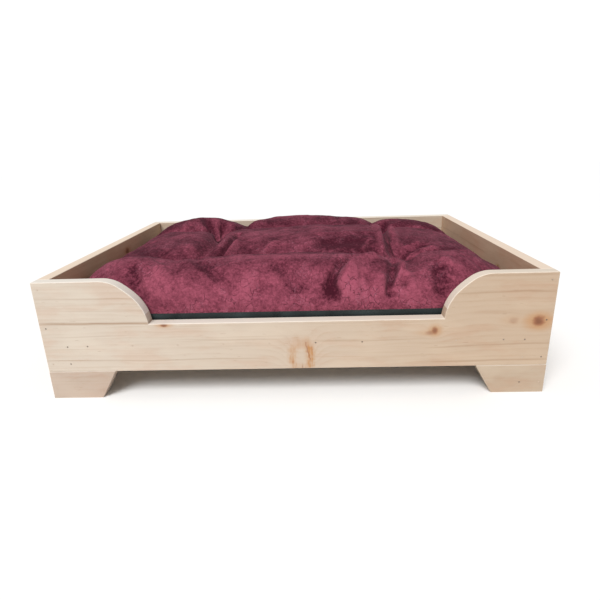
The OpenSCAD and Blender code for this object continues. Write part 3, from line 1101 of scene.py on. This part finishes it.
def plush_points(columns, rows, plan):
    """Grid parameters and points of the stuffed upper half, before folds."""
    reach_x, reach_y, seam, _, tie_x, tie_y = plan
    half_x, half_y = reach_x + OUTSET, reach_y + OUTSET
    s, t, x, y = grid_plan(columns, rows, half_x, half_y)
    side = edge_rise((1 - np.abs(s)) * half_x, 105 * MM)
    front = edge_rise((1 - np.abs(t)) * half_y, 70 * MM)
    height = lump_height(s * half_x, t * half_y, half_y, tie_x, tie_y)
    for sx, sy in SIGNS:
        gap = np.hypot(x - sx * tie_x, y - sy * tie_y)
        height = height - np.maximum(height - PIT_FLOOR, 0) * np.exp(-(gap / PIT_WIDTH) ** 1.5)
    bulge = BULGE * np.sin(np.pi * np.clip(side * front, 0, 1) ** 0.8)
    x = x + np.sign(s) * np.abs(s) ** 12 * bulge
    y = y + np.sign(t) * np.abs(t) ** 12 * bulge
    return s, t, np.stack([x, y, seam + height * side * CROWN], -1)


def base_points(columns, rows, plan):
    """Points of the dark underside: short upright sides with ripples and tucks, and a flat bottom."""
    reach_x, reach_y, seam, floor = plan[:4]
    half_x, half_y = reach_x + OUTSET, reach_y + OUTSET
    s, t, x, y = grid_plan(columns, rows, half_x, half_y)
    near = np.minimum((1 - np.abs(s)) * half_x, (1 - np.abs(t)) * half_y)
    down = edge_rise(near, HEM_ROUND, 2.0, 0.8)
    gather = ripples(x, y, 0.021, 5) * CLOTH_RIPPLE
    for place in TUCKS:
        gather = gather - TUCK * np.exp(-((x - place) / TUCK_WIDTH) ** 2)
    out = (gather * (down < 1) + MM) * np.sin(np.pi * down)
    x = x + np.sign(s) * np.abs(s) ** 40 * out
    y = y + np.sign(t) * np.abs(t) ** 40 * out
    return np.stack([x, y, seam - (seam - floor) * down], -1)


def grid_faces(columns, rows):
    """Four corner numbers of every cell of a grid."""
    index = np.arange(columns * rows).reshape(columns, rows)
    return np.stack([index[:-1, :-1], index[1:, :-1], index[1:, 1:], index[:-1, 1:]], -1).reshape(-1, 4)


def grid_piece(name, points, flip=False):
    """An object whose mesh is a grid of points."""
    quads = grid_faces(*points.shape[:2])
    if flip:
        quads = quads[:, ::-1]
    data = bpy.data.meshes.new(name)
    data.from_pydata(points.reshape(-1, 3).tolist(), [], quads.tolist())
    piece = bpy.data.objects.new(name, data)
    bpy.context.scene.collection.objects.link(piece)
    return piece


def rim_of(columns, rows):
    """Grid positions of the outer ring, once round."""
    return ([(i, 0) for i in range(columns)] + [(columns - 1, j) for j in range(1, rows)]
            + [(i, rows - 1) for i in range(columns - 2, -1, -1)] + [(0, j) for j in range(rows - 2, 0, -1)])


def puff(points, floor, ties):
    """Blows a closed bag up as cloth and returns how far each point of its upper grid moves."""
    look = bpy.context.scene.bed_cushion
    columns, rows = points.shape[:2]
    flat = points.reshape(-1, 3)
    rim = [i * rows + j for i, j in rim_of(columns, rows)]
    lower = list(range(len(flat), len(flat) + len(rim)))
    verts = flat.tolist() + [[flat[v][0], flat[v][1], floor] for v in rim]
    quads = grid_faces(columns, rows).tolist()
    for k in range(len(rim)):
        n = (k + 1) % len(rim)
        quads.append([rim[n], rim[k], lower[k], lower[n]])
    quads.append(lower[::-1])
    data = bpy.data.meshes.new("puffing")
    data.from_pydata(verts, [], quads)
    bag = bpy.data.objects.new("puffing", data)
    bpy.context.scene.collection.objects.link(bag)
    held = bag.vertex_groups.new(name="held")
    held.add(rim + lower, 1.0, "REPLACE")
    for tie_x, tie_y in ties:
        gap = np.hypot(flat[:, 0] - tie_x, flat[:, 1] - tie_y)
        held.add([int(i) for i in np.nonzero(gap < 10 * MM)[0]], 1.0, "REPLACE")
    cloth = bag.modifiers.new("Cloth", "CLOTH")
    settings = cloth.settings
    settings.quality, settings.mass, settings.air_damping = 6, 0.3, 1.0
    settings.tension_stiffness = settings.compression_stiffness = look.stiffness
    settings.shear_stiffness, settings.bending_stiffness = 5.0, 0.3
    settings.use_pressure, settings.uniform_pressure_force = True, look.pressure
    settings.vertex_group_mass, settings.pin_stiffness = "held", 1.0
    settings.shrink_min = settings.shrink_max = -look.extra_cloth
    settings.effector_weights.gravity = 0.0
    cloth.point_cache.frame_start, cloth.point_cache.frame_end = 1, look.frames
    for number in range(1, look.frames + 1):
        bpy.context.scene.frame_set(number)
    blown = bag.evaluated_get(bpy.context.evaluated_depsgraph_get()).data
    moved = np.array([v.co for v in blown.vertices])
    bpy.context.scene.frame_set(1)
    bpy.data.objects.remove(bag)
    step = moved[:len(flat)] - flat
    length = np.linalg.norm(step, axis=1, keepdims=True)
    step = step * np.tanh(length / look.puff_cap) * look.puff_cap / np.maximum(length, 1e-9)
    return step.reshape(points.shape)


def refined(values, step):
    """Values of a coarse grid spread onto one with step times as many cells, and smoothed."""
    for axis in (0, 1):
        count = values.shape[axis]
        place = np.linspace(0, count - 1, (count - 1) * step + 1)
        low = np.minimum(place.astype(int), count - 2)
        share = (place - low).reshape([-1 if k == axis else 1 for k in range(3)])
        values = np.take(values, low, axis) * (1 - share) + np.take(values, low + 1, axis) * share
    for _ in range(4):
        values[1:-1] = (values[:-2] + 2 * values[1:-1] + values[2:]) / 4
        values[:, 1:-1] = (values[:, :-2] + 2 * values[:, 1:-1] + values[:, 2:]) / 4
    return values


def held_within(values, limit, soft=6 * MM):
    """Softly holds values between minus the limit and the limit."""
    size = np.abs(values)
    over = np.maximum(size - (limit - soft), 0)
    return np.sign(values) * (np.minimum(size, limit - soft) + soft * np.tanh(over / soft))


def folded(points, s, t, plan):
    """Lays the folds, pleats and ripples on the stuffed form; returns the points and their fold heights."""
    tie_x, tie_y = plan[4:]
    x, y = points[..., 0], points[..., 1]
    v = along_cloth(points, y, FRONT_RIDGE_Y, False)
    v = np.where(y > 0, along_cloth(points, y, BACK_RIDGE_Y, True), v)
    lift = FOLD_GAIN * sum(fold_height(x, v, *fold) for fold in FOLDS)
    uneven = ripples(x, y, 0.05, 11)
    for sx, sy in SIGNS:
        gap = np.hypot(x - sx * tie_x, y - sy * tie_y) / PLEAT_REACH
        turn = np.arctan2(y - sy * tie_y, x - sx * tie_x)
        pleat = np.cos(PLEATS * turn + 1.7 * sx + 0.6 * sy + 2.5 * uneven)
        lift = lift + PLEAT * gap * np.exp(1 - gap) * pleat
    for height, size, seed in RIPPLES:
        lift = lift + height * ripples(x, v, size, seed)
    edge = (1 - np.maximum(np.abs(s), np.abs(t))) / HEM
    lift = lift + GATHER * ripples(x + y, x - y, 0.017, 4) * np.exp(-edge)
    lift = lift * np.clip(edge * 2, 0, 1)
    return points + normals_of(points) * lift[..., None], lift


def nap_light_and_shade(points):
    """How much lighter the plush is painted in the bands and patches: partly brushed-up nap, partly painted
    shade in the valleys and painted highlight on the ridges.
    """
    x, v = points[..., 0], along_cloth(points, points[..., 1], FRONT_RIDGE_Y, False)

    def bump(values, middle, width):
        return np.exp(-((values - middle * MM) / (width * MM)) ** 2)

    lighter = sum(amount * bump(v, place, width) for place, width, amount in SHADE_AND_HIGHLIGHT_BANDS)
    place, width, amount = FRONT_RIDGE_HIGHLIGHT
    lighter = lighter + amount * bump(v, place, width) * np.exp(-(x / 0.33) ** 6)
    return lighter + sum(amount * bump(x, middle, half_length) * bump(v, place, half_width)
                         for middle, place, half_length, half_width, amount in NAP_AND_LIGHT_PATCHES)


def store(piece, name, values):
    """Keeps a value for every point, where the material can read it."""
    attribute = piece.data.attributes.new(name, "FLOAT", "POINT")
    attribute.data.foreach_set("value", values.astype(np.float32).ravel())


def knot_mesh():
    """A small knot of thread: a tube along a trefoil."""
    mesh = bmesh.new()
    steps, sides, tube, size = 60, 6, 0.55 * MM, 1.1 * MM
    centres = []
    for k in range(steps):
        a = math.tau * k / steps
        x, y = math.sin(a) + 2 * math.sin(2 * a), math.cos(a) - 2 * math.cos(2 * a)
        centres.append(Vector((x, y, -math.sin(3 * a))) * size)
    rings = []
    for k in range(steps):
        ahead = (centres[(k + 1) % steps] - centres[k - 1]).normalized()
        side = ahead.cross(Vector((0.1, 0.2, 1.0))).normalized()
        up = side.cross(ahead)
        turns = [math.tau * i / sides for i in range(sides)]
        rings.append([mesh.verts.new(centres[k] + tube * (side * math.cos(a) + up * math.sin(a)))
                      for a in turns])
    for k in range(steps):
        for i in range(sides):
            n, m = (k + 1) % steps, (i + 1) % sides
            mesh.faces.new((rings[k][i], rings[n][i], rings[n][m], rings[k][m]))
    bmesh.ops.recalc_face_normals(mesh, faces=mesh.faces)
    return mesh


def stitch_mesh():
    """One stitch along +Z, a short thick thread with tapered ends."""
    mesh = bmesh.new()
    bmesh.ops.create_uvsphere(mesh, u_segments=8, v_segments=6, radius=1.0)
    bmesh.ops.scale(mesh, vec=(0.4 * MM, 0.4 * MM, 1.7 * MM), verts=mesh.verts)
    return mesh


def seam_stitches(points, gap):
    """Places and directions of the stitches along the seam."""
    rim = np.array([points[i, j] for i, j in rim_of(*points.shape[:2])])
    ahead = np.roll(rim, -1, axis=0) - rim
    length = np.linalg.norm(ahead, axis=1)
    way = np.concatenate([[0], np.cumsum(length)])
    closed = np.vstack([rim, rim[:1]])
    count = int(way[-1] / gap)
    marks = (np.arange(count) + 0.5) * way[-1] / count
    places = np.stack([np.interp(marks, way, closed[:, k]) for k in range(3)], -1)
    ways = ahead[np.clip(np.searchsorted(way, marks) - 1, 0, len(rim) - 1)]
    out = np.cross(ways, (0, 0, 1.0))
    out /= np.linalg.norm(out, axis=1, keepdims=True)
    return places + out * 0.3 * MM - np.array((0, 0, 0.8 * MM)), ways


class BED_OT_cushion(bpy.types.Operator):
    """Builds the tufted plush cushion with its dark underside, its ties and its seam"""
    bl_idname = "bed.cushion"
    bl_label = "Build Cushion"

    def execute(self, context):
        look = context.scene.bed_cushion
        plan = cushion_plan()
        reach_x, reach_y, _, floor, tie_x, tie_y = plan
        ties = [(sx * tie_x, sy * tie_y) for sx, sy in SIGNS]
        columns, rows = look.columns * COARSE + 1, look.rows * COARSE + 1
        s, t, upper = plush_points(columns, rows, plan)
        upper = upper + refined(puff(upper[::COARSE, ::COARSE], floor, ties), COARSE)
        upper, lift = folded(upper, s, t, plan)
        lower = base_points(columns, rows, plan)
        for points in (upper, lower):
            points[..., 0] = held_within(points[..., 0], reach_x + MOST_OUT)
            points[..., 1] = held_within(points[..., 1], reach_y + MOST_OUT)
        top = grid_piece("plush_top", upper)
        normals = normals_of(upper)
        # Plush facing the front is painted lighter and plush facing the back darker, partly for the lie of
        # the nap and partly as painted light from the front.
        store(top, "nap", np.clip(0.30 - 0.50 * normals[..., 1] + 0.6 * nap_light_and_shade(upper), 0, 1))
        # Fold heights, which the plush turns into painted highlight on the ridges and painted shade in the
        # dips.
        store(top, "fold", np.clip(lift / (3 * MM), -1, 1))
        under = grid_piece("base_cloth", lower, flip=True)
        tie_thread = thread_material("tie_thread", (0.10, 0.02, 0.035))
        seam_thread = thread_material("seam_thread", (0.03, 0.035, 0.035))
        knots = []
        for x, y in ties:
            nearest = np.argmin(np.hypot(upper[..., 0] - x, upper[..., 1] - y))
            knots.append(upper.reshape(-1, 3)[nearest] + np.array((0, 0, 1.2 * MM)))
        tied = scatter("tie_knots", knots, [(0, 0, 1)] * len(knots), knot_mesh(), tie_thread)
        sewn = scatter("seam_stitches", *seam_stitches(upper, 5 * MM), stitch_mesh(), seam_thread)
        top.data.materials.append(plush_material())
        under.data.materials.append(cloth_material())
        for piece, slot, nodes in ((top, "plush_velvet", ("cushion_cover", "cushion_filling")),
                                   (under, "base_cloth", ("cushion_base",)),
                                   (tied, "tie_thread", ("cushion_ties",)),
                                   (sewn, "base_cloth", ())):
            for polygon in piece.data.polygons:
                polygon.use_smooth = True
            if nodes:
                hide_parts(*nodes)
            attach(piece, "cushion")
        return {"FINISHED"}


# ---------------------------------------------------------------- stage

# Where the key light comes from and how wide it is
KEY_PLACE = (-0.42, -1.0, 1.25)
KEY_SPREAD = math.radians(34)
# Strength of the world as a light, and as it is seen behind the bed
LIGHT_WORLD, SEEN_WORLD = 0.45, 1.20


def add_key_light(strength):
    """Even light from a wide patch of sky above the front left."""
    data = bpy.data.lights.new("key", "SUN")
    data.energy, data.angle = strength, KEY_SPREAD
    lamp = bpy.data.objects.new("key", data)
    lamp.rotation_euler = (-Vector(KEY_PLACE)).to_track_quat("-Z", "Y").to_euler()
    bpy.context.scene.collection.objects.link(lamp)


def camera_turn(yaw, pitch, roll):
    """Rotation of a camera that looks along +Y, turned left, tipped down and leaned."""
    base = Matrix.Rotation(math.radians(90), 4, "X")
    return (Matrix.Rotation(yaw, 4, "Z") @ Matrix.Rotation(-pitch, 4, "X")
            @ Matrix.Rotation(-roll, 4, "Y") @ base)


class BED_OT_stage(bpy.types.Operator):
    """Sets the pale floor, the soft light and the camera"""
    bl_idname = "bed.stage"
    bl_label = "Set Stage"

    def execute(self, context):
        scene, look = context.scene, context.scene.bed_stage
        scene.view_settings.view_transform = "Standard"
        floor_mesh = bmesh.new()
        bmesh.ops.create_grid(floor_mesh, x_segments=1, y_segments=1, size=8.0)
        floor = mesh_piece("floor", floor_mesh)
        material, s = new_material("floor_paper")
        close_material(s, Base_Color=(0.98, 0.98, 0.975), Roughness=0.9)
        floor.data.materials.append(material)

        world = bpy.data.worlds.new("studio")
        scene.world = world
        world.use_nodes = True
        world.node_tree.nodes.clear()
        s = Sockets(world.node_tree)
        seen = s.node("ShaderNodeLightPath").outputs["Is Camera Ray"]
        strength = s.add(LIGHT_WORLD, s.mul(seen, SEEN_WORLD - LIGHT_WORLD))
        ground = s.node("ShaderNodeBackground", {"Color": (1, 1, 1), "Strength": strength})
        s.node("ShaderNodeOutputWorld", {"Surface": ground.outputs[0]})

        add_key_light(look.key_strength)
        data = bpy.data.cameras.new("camera")
        data.lens, data.sensor_width, data.clip_start = look.lens, 36.0, 0.02
        camera = bpy.data.objects.new("camera", data)
        camera.matrix_world = (Matrix.Translation(Vector(look.camera_place))
                               @ camera_turn(look.yaw, look.pitch, look.roll))
        scene.collection.objects.link(camera)
        scene.camera = camera
        return {"FINISHED"}


# ---------------------------------------------------------------- panel

class BED_PT_panel(bpy.types.Panel):
    """Lists the settings and the pieces in the order they are built"""
    bl_idname = "BED_PT_panel"
    bl_label = "Dog Bed"
    bl_space_type = "VIEW_3D"
    bl_region_type = "UI"
    bl_category = "Dog Bed"

    def draw(self, context):
        layout = self.layout
        for group_name in SETTINGS:
            group = getattr(context.scene, group_name)
            box = layout.box()
            for key in group.bl_rna.properties.keys():
                if key not in ("rna_type", "name"):
                    box.prop(group, key)
        for operator in OPERATORS:
            layout.operator(operator.bl_idname)


SETTINGS = {"bed_timber": TimberSettings, "bed_brads": BradSettings,
            "bed_cushion": CushionSettings, "bed_stage": StageSettings}
OPERATORS = (BED_OT_stage, BED_OT_boards, BED_OT_feet, BED_OT_base, BED_OT_brads, BED_OT_cushion)


def register():
    """Adds the settings, the operators and the panel."""
    for name, group in SETTINGS.items():
        bpy.utils.register_class(group)
        setattr(bpy.types.Scene, name, PointerProperty(type=group))
    for operator in OPERATORS:
        bpy.utils.register_class(operator)
    bpy.utils.register_class(BED_PT_panel)


def unregister():
    """Takes them out again."""
    bpy.utils.unregister_class(BED_PT_panel)
    for operator in reversed(OPERATORS):
        bpy.utils.unregister_class(operator)
    for name, group in SETTINGS.items():
        delattr(bpy.types.Scene, name)
        bpy.utils.unregister_class(group)


def main():
    """Builds everything."""
    register()
    bpy.ops.bed.stage()
    bpy.ops.bed.boards()
    bpy.ops.bed.feet()
    bpy.ops.bed.base()
    bpy.ops.bed.brads()
    bpy.ops.bed.cushion()


if __name__ == "__main__":
    main()
